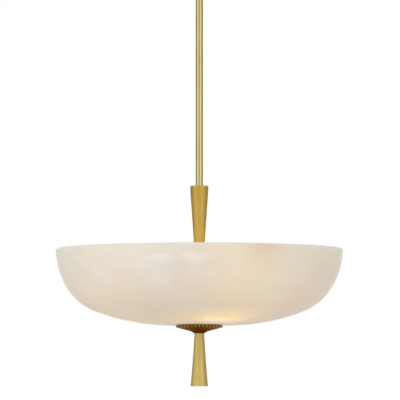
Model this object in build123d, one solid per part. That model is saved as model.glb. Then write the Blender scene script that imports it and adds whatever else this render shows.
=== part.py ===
from build123d import *
import os
from math import cos, radians, sin, sqrt

# Bowl pendant light in millimetres. Z is up, and Z = 0 is the ceiling that the light hangs from.
# Everything is worked out downwards from the ceiling and outwards from the stem's axis.

# Fits
THREAD_PLAY = 0.1
TUBE_PLAY = 0.15
SCREW_HOLE_PLAY = 0.4
SEAT_PLAY = 0.25
RING_PLAY = 0.08
WIRE_PLAY = 0.3
LAMP_PLAY = 0.3

# Ceiling strap, studs and canopy
SLOT_SPACING = 88.9
SLOT_LENGTH = 11.0
SLOT_WIDTH = 4.6
SLOT_END_MARGIN = 4.05
STRAP_WIDTH = 22.0
STRAP_THICKNESS = 2.5
STRAP_CENTRE_HOLE = 13.0
STUD_SPACING = 60.0
STUD_DIAMETER = 4.0
STUD_END = 6.5
STUD_NUT_ACROSS_FLATS = 7.0
STUD_NUT_HEIGHT = 3.2
EARTH_SCREW_MARGIN = 4.0
EARTH_SCREW_DIAMETER = 4.0
EARTH_HEAD_DIAMETER = 8.0
EARTH_HEAD_HEIGHT = 2.6
CANOPY_WALL = 1.5
CANOPY_SHOULDER = 10.0
CANOPY_RIM_WIDTH = 3.0
CANOPY_RIM_HEIGHT = 3.0
STRAP_END_ROOM = 9.5
CAP_NUT_DIAMETER = 11.0
CAP_NUT_SIDE = 7.0
CAP_NUT_DOME = 4.0
CAP_NUT_BORE_SPARE = 1.0

# Swivel
HEADROOM = 3.2
LEAD_TAIL = 5.0
NIPPLE_DIAMETER = 9.7
NIPPLE_BORE = 7.0
NIPPLE_STICKOUT = 2.0
SWIVEL_NUT_ACROSS_FLATS = 14.0
SWIVEL_NUT_HEIGHT = 4.0
SWIVEL_WASHER_DIAMETER = 18.0
SWIVEL_WASHER_THICKNESS = 1.2
BALL_DIAMETER = 36.0
BALL_TOP_CUT = 6.0
BALL_FOOT_INSET = 0.8
SEAT_MOUTH_ANGLE = 52.6
SEAT_RING_DROP = 1.0
SEAT_RING_LIP = 2.4
SEAT_FLANGE_WIDTH = 5.0
SEAT_FLANGE_HEIGHT = 2.5

# Stem, coupling and upper trumpet
CEILING_TO_RIM = 585.0
STEM_DIAMETER = 16.0
STEM_WALL = 1.5
BUSH_LENGTH = 14.0
INNER_STEM_WALL = 1.5
COUPLING_WALL = 2.0
COUPLING_SOCKET = 14.0
COUPLING_MIDDLE = 6.0
COUPLING_DROP = 8.0
TRUMPET_RISE = 133.5
TRUMPET_LENGTH = 136.0
TRUMPET_MOUTH_DIAMETER = 38.4
TRUMPET_NECK_DIAMETER = 20.6
TRUMPET_BOW = 0.3
TRUMPET_WALL = 2.0
TRUMPET_WEB = 6.0
CAP_HEIGHT = 11.0
CAP_SPIGOT = 5.0
CAP_EDGE = 1.0
COLLAR_DIAMETER = 19.0
COLLAR_HEIGHT = 7.0
COLLAR_EDGE = 1.0

# Alabaster bowl
BOWL_DIAMETER = 610.0
BOWL_DEPTH = 162.0
BOWL_WALL = 10.0
BOWL_FLAT_DIAMETER = 140.0
BOWL_SHOULDER_RADIUS = 120.0
BOWL_FLOOR_ANGLE = 22.0
BOWL_SIDE_ANGLE = 58.0
BOWL_RIM_ROUND = 4.0
BOWL_HOLE_DIAMETER = 16.0

# Lamp cluster
LAMP_COUNT = 3
FIRST_LAMP_ANGLE = -70.0
LAMP_AXIS_HEIGHT = 64.0
CLUSTER_DIAMETER = 52.0
CLUSTER_HEIGHT = 36.0
CLUSTER_WALL = 3.5
CLUSTER_TOP_WALL = 5.0
CLUSTER_EDGE = 3.0
CLUSTER_BOSS_DIAMETER = 20.0
CLUSTER_BOSS_HEIGHT = 4.0
COVER_THICKNESS = 3.0
COVER_SPIGOT = 3.0
SPLICE_DIAMETER = 8.0
SPLICE_LENGTH = 16.0
SPLICE_ROUND = 2.0
SPLICE_ROOM = 5.0

# Lampholder, measured from its foot along the lamp's axis
HOLDER_DIAMETER = 38.0
HOLDER_LENGTH = 46.0
HOLDER_FOOT_DIAMETER = 26.0
HOLDER_FOOT_HEIGHT = 6.0
HOLDER_TAPER = 6.0
HOLDER_LIP_DIAMETER = 41.0
HOLDER_LIP_HEIGHT = 4.0
HOLDER_LIP_ROUND = 1.2
HOLDER_FOOT_ROUND = 1.5
HOLDER_FLOOR = 16.0
HOLDER_WALL = 4.4
SOCKET_NIPPLE_DEPTH = 9.5
SOCKET_NIPPLE_INSIDE = 4.5
SHELL_WALL = 0.8
SHELL_SHORTFALL = 4.0
CONTACT_DIAMETER = 9.6
CONTACT_CROWN_DIAMETER = 4.8
CONTACT_BASE = 1.0
CONTACT_HEIGHT = 3.0
CONTACT_GAP = 0.2
CONTACT_CLEARANCE = 1.0

# Lamp
LAMP_LENGTH = 108.0
GLOBE_DIAMETER = 60.0
GLOBE_MOUTH_ANGLE = 60.0
GLOBE_WALL = 1.5
LAMP_TIP_DIAMETER = 9.0
LAMP_TIP_FACE_DIAMETER = 4.5
LAMP_TIP_HEIGHT = 2.0
LAMP_CAP_TAPER = 3.5
LAMP_BODY_FLARE = 1.2

# Spindle stack that carries the bowl
SPINDLE_DIAMETER = 9.7
SPINDLE_WIRE_ROOM = 0.45
SPINDLE_GRIP = 18.0
SPINDLE_SLOT_LENGTH = 20.0
SPINDLE_SLOT_WIDTH = 5.0
FINIAL_THREAD = 20.0
SLEEVE_DIAMETER = 18.0
INNER_WASHER_DIAMETER = 60.0
INNER_WASHER_THICKNESS = 3.0
INNER_GASKET_DIAMETER = 66.0
INNER_GASKET_THICKNESS = 2.0
OUTER_GASKET_DIAMETER = 88.0
OUTER_GASKET_THICKNESS = 1.5
BOWL_WASHER_DIAMETER = 48.0
BOWL_WASHER_THICKNESS = 2.0
BOWL_NUT_ACROSS_FLATS = 17.0
BOWL_NUT_HEIGHT = 5.0
RECESS_PLAY = 1.0

# Fluted dish and finial
DISH_DIAMETER = 99.0
DISH_DEPTH = 16.8
DISH_EDGE = 4.0
DISH_NECK_DIAMETER = 21.0
DISH_SLOPE_END_DIAMETER = 44.0
DISH_SLOPE_DEPTH = 11.2
FLUTE_COUNT = 36
FLUTE_DEPTH = 2.2
FLUTE_RIB = 1.0
FLUTE_END_MARGIN = 1.0
FLUTE_END_FADE = 0.5
EDGE_NOTCH_DEPTH = 1.6
FINIAL_LENGTH = 112.2
FINIAL_TOP_DIAMETER = 20.6
FINIAL_MOUTH_DIAMETER = 37.2
FINIAL_BOW = 0.5
FINIAL_LIP = 4.0
FINIAL_LIP_STEP = 0.4
FINIAL_WALL = 2.5
FINIAL_CROWN_SPARE = 6.0
PLUG_THICKNESS = 3.0
PLUG_RECESS = 0.8
PLUG_LEDGE = 1.2

# Wiring
LEAD_DIAMETER = 2.2
FIRST_LEAD_ANGLE = 90.0
SOCKET_LEAD_DIAMETER = 1.8
SOCKET_LEAD_INSIDE = 9.0
SOCKET_LEAD_DEPTH = 13.0


FROM_BELOW = (Align.CENTER, Align.CENTER, Align.MIN)


def rod(diameter, bottom, top):
    """Plain round bar about Z between two levels."""
    return Pos(0, 0, bottom) * Cylinder(diameter / 2, top - bottom, align=FROM_BELOW)


def ring(outer, bore, bottom, top):
    """Flat ring about Z, from its outer and bore diameters and its two levels."""
    return rod(outer, bottom, top) - rod(bore, bottom, top)


def turned(*edges):
    """Solid of revolution about Z from edges drawn as (radius, level)."""
    return revolve(Plane.XZ * make_face(edges), Axis.Z)


def turned_corners(*corners):
    """Solid of revolution about Z from the straight corners of its section."""
    return turned(Polyline(*corners, close=True))


def hex_nut(across_flats, bore, bottom, top):
    """Plain hexagon nut about Z between two levels."""
    blank = extrude(RegularPolygon(across_flats / 2, 6, major_radius=False), top - bottom)
    return Pos(0, 0, bottom) * blank - rod(bore, bottom, top)


def bowed_side(start, end, bow):
    """Arc between two (radius, level) points that bows towards the axis by a given amount."""
    middle = ((start[0] + end[0]) / 2 - bow, (start[1] + end[1]) / 2)
    return ThreePointArc(start, middle, end)


def quarter_bend(centre, radius):
    """Quarter circle of a section, from right below its centre to straight out from it."""
    return CenterArc(centre, radius, -90, 90)


def rounded_at(piece, radius, amount):
    """Rounds the circular edges of a turned piece that have a given radius."""
    circles = piece.edges().filter_by(GeomType.CIRCLE)
    return fillet([edge for edge in circles if abs(edge.radius - radius) < THREAD_PLAY], amount)


nodes = {}

# Levels from the ceiling down to the stem's top
strap_bottom = -STRAP_THICKNESS
lead_top = strap_bottom - HEADROOM
nipple_top = lead_top - LEAD_TAIL
swivel_nut_top = nipple_top - NIPPLE_STICKOUT
swivel_nut_bottom = swivel_nut_top - SWIVEL_NUT_HEIGHT
ball_top = swivel_nut_bottom - SWIVEL_WASHER_THICKNESS
ball_centre = ball_top - BALL_TOP_CUT
ball_radius = BALL_DIAMETER / 2
seat_radius = ball_radius + SEAT_PLAY
seat_ring_bottom = ball_centre - seat_radius * cos(radians(SEAT_MOUTH_ANGLE))
canopy_bottom = seat_ring_bottom + SEAT_RING_DROP
canopy_floor = canopy_bottom + CANOPY_WALL
stem_top = ball_centre - sqrt(ball_radius ** 2 - (STEM_DIAMETER / 2 - BALL_FOOT_INSET) ** 2)

# Levels of the trumpet and the bowl
rim_level = -CEILING_TO_RIM
bowl_bottom = rim_level - BOWL_DEPTH
bowl_floor = bowl_bottom + BOWL_WALL
cap_top = rim_level + TRUMPET_RISE
trumpet_top = cap_top - CAP_HEIGHT
trumpet_bottom = trumpet_top - TRUMPET_LENGTH
coupling_top = trumpet_top - CAP_SPIGOT - COUPLING_DROP
coupling_bottom = coupling_top - 2 * COUPLING_SOCKET - COUPLING_MIDDLE
stem_bottom = coupling_top - COUPLING_SOCKET
inner_stem_top = coupling_bottom + COUPLING_SOCKET

# Levels of the cluster and of the stack under it
lamp_level = bowl_bottom + LAMP_AXIS_HEIGHT
cluster_top = lamp_level + CLUSTER_HEIGHT / 2
cluster_bottom = lamp_level - CLUSTER_HEIGHT / 2
cover_bottom = cluster_bottom - COVER_THICKNESS
inner_washer_bottom = bowl_floor + INNER_GASKET_THICKNESS
inner_washer_top = inner_washer_bottom + INNER_WASHER_THICKNESS
dish_top = bowl_bottom - OUTER_GASKET_THICKNESS
dish_bottom = dish_top - DISH_DEPTH
finial_bottom = dish_bottom - FINIAL_LENGTH
spindle_top = cluster_top + SPINDLE_GRIP
spindle_bottom = dish_bottom - FINIAL_THREAD

# Diameters that several pieces share
spindle_hole = SPINDLE_DIAMETER + 2 * THREAD_PLAY
nipple_hole = NIPPLE_DIAMETER + 2 * THREAD_PLAY
inner_stem_bore = SPINDLE_DIAMETER + 2 * TUBE_PLAY
inner_stem_diameter = inner_stem_bore + 2 * INNER_STEM_WALL

# Mounting strap: pressed steel, with a slot at each end for the ceiling box's screws
strap_length = SLOT_SPACING + SLOT_LENGTH + 2 * SLOT_END_MARGIN
strap_face = SlotOverall(strap_length, STRAP_WIDTH)
stud_places = [(-STUD_SPACING / 2, 0), (STUD_SPACING / 2, 0)]
for slot_x in (-SLOT_SPACING / 2, SLOT_SPACING / 2):
    strap_face -= Pos(slot_x, 0) * SlotOverall(SLOT_LENGTH, SLOT_WIDTH)
for stud_x, stud_y in stud_places:
    strap_face -= Pos(stud_x, stud_y) * Circle(STUD_DIAMETER / 2 + THREAD_PLAY)
strap_face -= Circle(STRAP_CENTRE_HOLE / 2)
earth_screw_x = STRAP_CENTRE_HOLE / 2 + EARTH_SCREW_MARGIN + EARTH_HEAD_DIAMETER / 2
strap_face -= Pos(earth_screw_x, 0) * Circle(EARTH_SCREW_DIAMETER / 2 + THREAD_PLAY)
nodes["mounting_strap"] = Pos(0, 0, strap_bottom) * extrude(strap_face, STRAP_THICKNESS)

# Canopy studs screwed through the strap, each locked by a nut
stud_bottom = canopy_bottom - STUD_END
stud = rod(STUD_DIAMETER, stud_bottom, 0)
nodes["canopy_studs"] = [Pos(x, y) * stud for x, y in stud_places]
stud_nut = hex_nut(
    STUD_NUT_ACROSS_FLATS, STUD_DIAMETER + 2 * THREAD_PLAY, strap_bottom - STUD_NUT_HEIGHT, strap_bottom
)
nodes["stud_lock_nuts"] = [Pos(x, y) * stud_nut for x, y in stud_places]

# Earth screw in the strap, with a low round head
earth_screw = rod(EARTH_SCREW_DIAMETER, strap_bottom, 0)
earth_screw += rod(EARTH_HEAD_DIAMETER, strap_bottom - EARTH_HEAD_HEIGHT, strap_bottom)
nodes["earth_screw"] = Pos(earth_screw_x, 0) * earth_screw

# Canopy: a spun cup with a rounded shoulder and a hemmed rim against the ceiling
canopy_radius = strap_length / 2 + STRAP_END_ROOM + CANOPY_WALL
seat_spigot = 2 * (seat_radius * sin(radians(SEAT_MOUTH_ANGLE)) + SEAT_RING_LIP)
canopy_hole = seat_spigot + 2 * RING_PLAY
shoulder_level = canopy_bottom + CANOPY_SHOULDER
shoulder_in = canopy_radius - CANOPY_SHOULDER
wall_in = canopy_radius - CANOPY_WALL
rim_in = canopy_radius - CANOPY_RIM_WIDTH
shoulder_centre = (shoulder_in, shoulder_level)
canopy = turned(
    Polyline(
        (wall_in, shoulder_level), (wall_in, -CANOPY_RIM_HEIGHT), (rim_in, -CANOPY_RIM_HEIGHT), (rim_in, 0),
        (canopy_radius, 0), (canopy_radius, shoulder_level)
    ),
    quarter_bend(shoulder_centre, CANOPY_SHOULDER),
    Polyline(
        (shoulder_in, canopy_bottom), (canopy_hole / 2, canopy_bottom), (canopy_hole / 2, canopy_floor),
        (shoulder_in, canopy_floor)
    ),
    quarter_bend(shoulder_centre, CANOPY_SHOULDER - CANOPY_WALL)
)
for stud_x, stud_y in stud_places:
    canopy -= Pos(stud_x, stud_y) * rod(STUD_DIAMETER + 2 * SCREW_HOLE_PLAY, canopy_bottom, canopy_floor)
nodes["canopy"] = canopy

# Cap nuts that hold the canopy up, domed underneath and blind
cap_nut_dome_top = canopy_bottom - CAP_NUT_SIDE
cap_nut_bottom = cap_nut_dome_top - CAP_NUT_DOME
cap_nut_blind = stud_bottom - CAP_NUT_BORE_SPARE
dome_radius = ((CAP_NUT_DIAMETER / 2) ** 2 + CAP_NUT_DOME ** 2) / (2 * CAP_NUT_DOME)
cap_nut_dome = Pos(0, 0, cap_nut_bottom + dome_radius) * Sphere(dome_radius)
cap_nut = rod(CAP_NUT_DIAMETER, cap_nut_dome_top, canopy_bottom)
cap_nut += cap_nut_dome & rod(CAP_NUT_DIAMETER, cap_nut_bottom, cap_nut_dome_top)
cap_nut -= rod(STUD_DIAMETER + 2 * THREAD_PLAY, cap_nut_blind, canopy_bottom)
nodes["canopy_cap_nuts"] = [Pos(x, y) * cap_nut for x, y in stud_places]

# Swivel seat: a nylon ring that turns in the canopy's hole and holds the ball in its hollow
seat_ring = rod(seat_spigot, seat_ring_bottom, canopy_floor)
seat_ring += rod(seat_spigot + 2 * SEAT_FLANGE_WIDTH, canopy_floor, canopy_floor + SEAT_FLANGE_HEIGHT)
nodes["swivel_seat_ring"] = seat_ring - Pos(0, 0, ball_centre) * Sphere(seat_radius)

# Swivel ball, cut flat above for its nut and below for the stem's end
ball = Pos(0, 0, ball_centre) * Sphere(ball_radius)
ball &= rod(2 * BALL_DIAMETER, stem_top, ball_top)
nodes["swivel_ball"] = ball - rod(nipple_hole, stem_top, ball_top)

# Nipple, washer and lock nut that hold the stem to the ball
nodes["top_nipple"] = ring(NIPPLE_DIAMETER, NIPPLE_BORE, stem_top - BUSH_LENGTH, nipple_top)
nodes["swivel_washer"] = ring(SWIVEL_WASHER_DIAMETER, nipple_hole, ball_top, swivel_nut_bottom)
nodes["swivel_lock_nut"] = hex_nut(SWIVEL_NUT_ACROSS_FLATS, nipple_hole, swivel_nut_bottom, swivel_nut_top)

# Stem tube, with a threaded bush brazed into its top end
stem_bore = STEM_DIAMETER - 2 * STEM_WALL
nodes["stem_tube"] = ring(STEM_DIAMETER, stem_bore, stem_bottom, stem_top)
nodes["stem_top_bush"] = ring(stem_bore - 2 * THREAD_PLAY, nipple_hole, stem_top - BUSH_LENGTH, stem_top)

# Coupling hidden in the trumpet: the stem screws in from above, the inner stem from below
coupling = ring(STEM_DIAMETER + 2 * COUPLING_WALL, inner_stem_bore, coupling_bottom, coupling_top)
coupling -= rod(STEM_DIAMETER + 2 * TUBE_PLAY, stem_bottom, coupling_top)
coupling -= rod(inner_stem_diameter + 2 * TUBE_PLAY, coupling_bottom, inner_stem_top)
nodes["stem_coupling"] = coupling

# Upper trumpet: a tapered sleeve with its mouth up, closed at the neck by a web round the inner stem
mouth_radius = TRUMPET_MOUTH_DIAMETER / 2
neck_radius = TRUMPET_NECK_DIAMETER / 2
web_top = trumpet_bottom + TRUMPET_WEB
web_bore = inner_stem_diameter / 2 + TUBE_PLAY
taper = (mouth_radius - neck_radius) / TRUMPET_LENGTH
web_in = neck_radius + taper * TRUMPET_WEB - TRUMPET_WALL
mouth_in = mouth_radius - TRUMPET_WALL
nodes["upper_trumpet"] = turned(
    bowed_side((neck_radius, trumpet_bottom), (mouth_radius, trumpet_top), TRUMPET_BOW),
    Line((mouth_radius, trumpet_top), (mouth_in, trumpet_top)),
    bowed_side((mouth_in, trumpet_top), (web_in, web_top), TRUMPET_BOW),
    Polyline(
        (web_in, web_top), (web_bore, web_top), (web_bore, trumpet_bottom), (neck_radius, trumpet_bottom)
    )
)

# Trumpet cap: the straight band at the mouth, with a spigot that drops into the trumpet
cap_bore = STEM_DIAMETER + 2 * TUBE_PLAY
cap = ring(TRUMPET_MOUTH_DIAMETER, cap_bore, trumpet_top, cap_top)
cap = chamfer(cap.faces().sort_by(Axis.Z)[-1].outer_wire().edges(), CAP_EDGE)
spigot_diameter = 2 * (mouth_in - taper * CAP_SPIGOT - TUBE_PLAY - TRUMPET_BOW)
nodes["trumpet_cap"] = cap + ring(spigot_diameter, cap_bore, trumpet_top - CAP_SPIGOT, trumpet_top)

# Collar on the inner stem that carries the trumpet
collar = ring(
    COLLAR_DIAMETER, inner_stem_diameter + 2 * THREAD_PLAY, trumpet_bottom - COLLAR_HEIGHT, trumpet_bottom
)
nodes["trumpet_collar"] = chamfer(collar.faces().sort_by(Axis.Z)[0].outer_wire().edges(), COLLAR_EDGE)

# Inner stem, from the coupling down to the cluster
nodes["inner_stem"] = ring(inner_stem_diameter, inner_stem_bore, cluster_top, inner_stem_top)

# Lamp cluster: an upturned cup with a flat boss for each lampholder, closed below by its cover
lamp_angles = [FIRST_LAMP_ANGLE + i * 360 / LAMP_COUNT for i in range(LAMP_COUNT)]
foot_radius = CLUSTER_DIAMETER / 2 + CLUSTER_BOSS_HEIGHT
cavity = CLUSTER_DIAMETER - 2 * CLUSTER_WALL
cavity_top = cluster_top - CLUSTER_TOP_WALL


def lamp_place(angle, radius):
    """Plane whose normal points outwards along a lamp's axis, at a distance from the stem's axis."""
    outwards = (cos(radians(angle)), sin(radians(angle)), 0)
    return Plane((radius * outwards[0], radius * outwards[1], lamp_level), x_dir=(0, 0, 1), z_dir=outwards)


cluster = rod(CLUSTER_DIAMETER, cluster_bottom, cluster_top)
cluster = fillet(cluster.faces().sort_by(Axis.Z)[-1].edges(), CLUSTER_EDGE)
for angle in lamp_angles:
    cluster += lamp_place(angle, 0) * rod(CLUSTER_BOSS_DIAMETER, 0, foot_radius)
cluster -= rod(cavity, cluster_bottom, cavity_top)
cluster -= rod(spindle_hole, cavity_top, cluster_top)
for angle in lamp_angles:
    cluster -= lamp_place(angle, 0) * rod(nipple_hole, cavity / 2 - CLUSTER_WALL, foot_radius)
nodes["cluster_body"] = cluster

cover = ring(CLUSTER_DIAMETER, spindle_hole, cover_bottom, cluster_bottom)
cover += ring(cavity - 2 * TUBE_PLAY, spindle_hole, cluster_bottom, cluster_bottom + COVER_SPIGOT)
nodes["cluster_cover"] = cover

# Splice caps in the cluster, standing on its cover between the lampholders
splice_bottom = cluster_bottom + COVER_SPIGOT
splice_circle = cavity / 2 - SPLICE_DIAMETER / 2 - SPLICE_ROOM
splice_cap = rod(SPLICE_DIAMETER, splice_bottom, splice_bottom + SPLICE_LENGTH)
splice_cap = fillet(splice_cap.faces().sort_by(Axis.Z)[-1].edges(), SPLICE_ROUND)
nodes["splice_caps"] = [
    Rot(0, 0, angle + 180 / LAMP_COUNT) * Pos(splice_circle, 0) * splice_cap for angle in lamp_angles
]

# Nipples that hold the lampholders to the cluster
nipple_start = -CLUSTER_BOSS_HEIGHT - SOCKET_NIPPLE_INSIDE
socket_nipple = ring(NIPPLE_DIAMETER, NIPPLE_BORE, nipple_start, SOCKET_NIPPLE_DEPTH)
nodes["socket_nipples"] = [lamp_place(angle, foot_radius) * socket_nipple for angle in lamp_angles]

# Lampholder: glazed porcelain, drawn about its own axis with its foot at zero
holder_radius = HOLDER_DIAMETER / 2
holder_bore = holder_radius - HOLDER_WALL
holder_foot = HOLDER_FOOT_DIAMETER / 2
holder_lip = HOLDER_LIP_DIAMETER / 2
lip_start = HOLDER_LENGTH - HOLDER_LIP_HEIGHT
taper_end = HOLDER_FOOT_HEIGHT + HOLDER_TAPER
nipple_seat = SOCKET_NIPPLE_DEPTH + THREAD_PLAY
lampholder = turned_corners(
    (nipple_hole / 2, 0), (holder_foot, 0), (holder_foot, HOLDER_FOOT_HEIGHT), (holder_radius, taper_end),
    (holder_radius, lip_start), (holder_lip, lip_start), (holder_lip, HOLDER_LENGTH),
    (holder_bore, HOLDER_LENGTH), (holder_bore, HOLDER_FLOOR), (NIPPLE_BORE / 2, HOLDER_FLOOR),
    (NIPPLE_BORE / 2, nipple_seat), (nipple_hole / 2, nipple_seat)
)
lampholder = rounded_at(lampholder, holder_lip, HOLDER_LIP_ROUND)
lampholder = rounded_at(lampholder, holder_foot, HOLDER_FOOT_ROUND)

# Screw shell: a thin cup standing on the lampholder's floor
shell_radius = holder_bore - TUBE_PLAY
shell_bore = shell_radius - SHELL_WALL
shell_hole = CONTACT_DIAMETER / 2 + CONTACT_CLEARANCE
shell_end = HOLDER_LENGTH - SHELL_SHORTFALL
screw_shell = turned_corners(
    (shell_hole, HOLDER_FLOOR), (shell_radius, HOLDER_FLOOR), (shell_radius, shell_end),
    (shell_bore, shell_end), (shell_bore, HOLDER_FLOOR + SHELL_WALL), (shell_hole, HOLDER_FLOOR + SHELL_WALL)
)

# Centre contact: a pressed brass button over the lampholder's wire hole
contact_top = HOLDER_FLOOR + CONTACT_HEIGHT
contact_radius = CONTACT_DIAMETER / 2
centre_contact = turned_corners(
    (0, HOLDER_FLOOR), (contact_radius, HOLDER_FLOOR), (contact_radius, HOLDER_FLOOR + CONTACT_BASE),
    (CONTACT_CROWN_DIAMETER / 2, contact_top), (0, contact_top)
)

# Lamp: tip contact, screw cap, flared body and a hollow round globe
tip_start = contact_top + CONTACT_GAP
tip_end = tip_start + LAMP_TIP_HEIGHT
lamp_tip = turned_corners(
    (0, tip_start), (LAMP_TIP_FACE_DIAMETER / 2, tip_start), (LAMP_TIP_DIAMETER / 2, tip_end), (0, tip_end)
)
cap_radius = shell_bore - LAMP_PLAY
cap_side = tip_end + LAMP_CAP_TAPER
body_start = HOLDER_LENGTH + LAMP_PLAY
lamp_cap = turned_corners(
    (0, tip_end), (LAMP_TIP_DIAMETER / 2, tip_end), (cap_radius, cap_side), (cap_radius, body_start),
    (0, body_start)
)
globe_radius = GLOBE_DIAMETER / 2
globe_mouth = globe_radius * sin(radians(GLOBE_MOUTH_ANGLE))
globe_top = tip_start + LAMP_LENGTH
globe_centre = globe_top - globe_radius
globe_start = globe_centre - globe_radius * cos(radians(GLOBE_MOUTH_ANGLE))
lamp_body = turned(
    Polyline((0, globe_start), (0, body_start), (cap_radius, body_start)),
    bowed_side((cap_radius, body_start), (globe_mouth, globe_start), LAMP_BODY_FLARE),
    Line((globe_mouth, globe_start), (0, globe_start))
)
globe_in = globe_radius - GLOBE_WALL
mouth_inside = sqrt(globe_in ** 2 - (globe_centre - globe_start) ** 2)
globe = turned(
    Line((mouth_inside, globe_start), (globe_mouth, globe_start)),
    ThreePointArc((globe_mouth, globe_start), (globe_radius, globe_centre), (0, globe_top)),
    Line((0, globe_top), (0, globe_top - GLOBE_WALL)),
    ThreePointArc((0, globe_top - GLOBE_WALL), (globe_in, globe_centre), (mouth_inside, globe_start))
)

lamp_pieces = {
    "lampholder": lampholder,
    "screw_shell": screw_shell,
    "centre_contact": centre_contact,
    "lamp_tip": lamp_tip,
    "lamp_cap": lamp_cap,
    "lamp_body": lamp_body,
    "lamp_globe": globe,
}
for number, angle in enumerate(lamp_angles, start=1):
    for name, piece in lamp_pieces.items():
        nodes[f"{name}_{number}"] = lamp_place(angle, foot_radius) * piece

# Spindle: hollow threaded rod that hangs the bowl from the inner stem, slotted in the cluster for the wires
lead_circle = (LEAD_DIAMETER + WIRE_PLAY) / sqrt(3)
spindle_bore = 2 * lead_circle + LEAD_DIAMETER + 2 * SPINDLE_WIRE_ROOM
spindle = ring(SPINDLE_DIAMETER, spindle_bore, spindle_bottom, spindle_top)
slot_cut = Box(SPINDLE_SLOT_WIDTH, 2 * SPINDLE_DIAMETER, SPINDLE_SLOT_LENGTH)
nodes["spindle"] = spindle - Pos(0, 0, lamp_level) * slot_cut
nodes["distance_sleeve"] = ring(SLEEVE_DIAMETER, spindle_hole, inner_washer_top, cover_bottom)
nodes["inner_washer"] = ring(INNER_WASHER_DIAMETER, spindle_hole, inner_washer_bottom, inner_washer_top)
nodes["inner_gasket"] = ring(INNER_GASKET_DIAMETER, BOWL_HOLE_DIAMETER, bowl_floor, inner_washer_bottom)


def bowl_arcs(offset):
    """The bowl's three tangent arcs from floor to rim, moved inwards from the outside by an offset.

    They start level at the edge of the flat underside and end upright at the rim. The floor and side
    radii follow from the bowl's diameter and depth, once the shoulder's radius is given.
    """
    rim, flat, shoulder = BOWL_DIAMETER / 2, BOWL_FLAT_DIAMETER / 2, BOWL_SHOULDER_RADIUS
    floor_end, side_start = radians(BOWL_FLOOR_ANGLE), radians(BOWL_SIDE_ANGLE)
    width = rim - flat - shoulder * (sin(side_start) - sin(floor_end))
    height = BOWL_DEPTH - shoulder * (cos(floor_end) - cos(side_start))
    share = sin(floor_end) * cos(side_start) - (1 - sin(side_start)) * (1 - cos(floor_end))
    floor = (width * cos(side_start) - (1 - sin(side_start)) * height) / share
    side = (sin(floor_end) * height - (1 - cos(floor_end)) * width) / share
    centre = Vector(flat, bowl_bottom + floor)
    last_radius = floor
    arcs = []
    turns = ((floor, 0, floor_end), (shoulder, floor_end, side_start), (side, side_start, radians(90)))
    for radius, start, end in turns:
        centre += Vector(sin(start), -cos(start)) * (last_radius - radius)
        points = (start, (start + end) / 2, end)
        arcs.append(ThreePointArc(*[centre + Vector(sin(t), -cos(t)) * (radius - offset) for t in points]))
        last_radius = radius
    return arcs


# Alabaster bowl: turned from one block, with an even wall and a soft rim
outside = bowl_arcs(0)
inside = bowl_arcs(BOWL_WALL)
bowl_hole = BOWL_HOLE_DIAMETER / 2
bowl = turned(
    *outside,
    Line(outside[-1] @ 1, inside[-1] @ 1),
    *inside,
    Polyline(inside[0] @ 0, (bowl_hole, bowl_floor), (bowl_hole, bowl_bottom), outside[0] @ 0)
)
rim_edges = bowl.faces().sort_by(Axis.Z)[-1].edges().filter_by(GeomType.CIRCLE)
nodes["alabaster_bowl"] = fillet(rim_edges, BOWL_RIM_ROUND)

# Bush in the bowl's hole, and the gasket, washer and nut that hold the bowl from below
nodes["bowl_hole_bush"] = ring(BOWL_HOLE_DIAMETER - 2 * TUBE_PLAY, spindle_hole, bowl_bottom, bowl_floor)
nodes["outer_gasket"] = ring(OUTER_GASKET_DIAMETER, spindle_hole, dish_top, bowl_bottom)
bowl_washer_bottom = dish_top - BOWL_WASHER_THICKNESS
bowl_nut_bottom = bowl_washer_bottom - BOWL_NUT_HEIGHT
nodes["bowl_washer"] = ring(BOWL_WASHER_DIAMETER, spindle_hole, bowl_washer_bottom, dish_top)
nodes["bowl_lock_nut"] = hex_nut(BOWL_NUT_ACROSS_FLATS, spindle_hole, bowl_nut_bottom, bowl_washer_bottom)

# Fluted dish: a shallow bell that falls to a narrow neck, recessed above for the washer and nut
dish_radius = DISH_DIAMETER / 2
dish_neck = DISH_NECK_DIAMETER / 2
edge_low = (dish_radius, dish_top - DISH_EDGE)
slope_low = (DISH_SLOPE_END_DIAMETER / 2, dish_top - DISH_SLOPE_DEPTH)
slope = Line(edge_low, slope_low)
washer_pocket = BOWL_WASHER_DIAMETER / 2 + RECESS_PLAY
washer_floor = bowl_washer_bottom - RECESS_PLAY
nut_pocket = BOWL_NUT_ACROSS_FLATS / sqrt(3) + RECESS_PLAY
nut_floor = bowl_nut_bottom - RECESS_PLAY
dish = turned(
    slope,
    TangentArc(slope_low, (dish_neck, dish_bottom), tangent=slope % 1),
    Polyline(
        (dish_neck, dish_bottom), (spindle_hole / 2, dish_bottom), (spindle_hole / 2, nut_floor),
        (nut_pocket, nut_floor), (nut_pocket, washer_floor), (washer_pocket, washer_floor),
        (washer_pocket, dish_top), (dish_radius, dish_top), edge_low
    )
)

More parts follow.
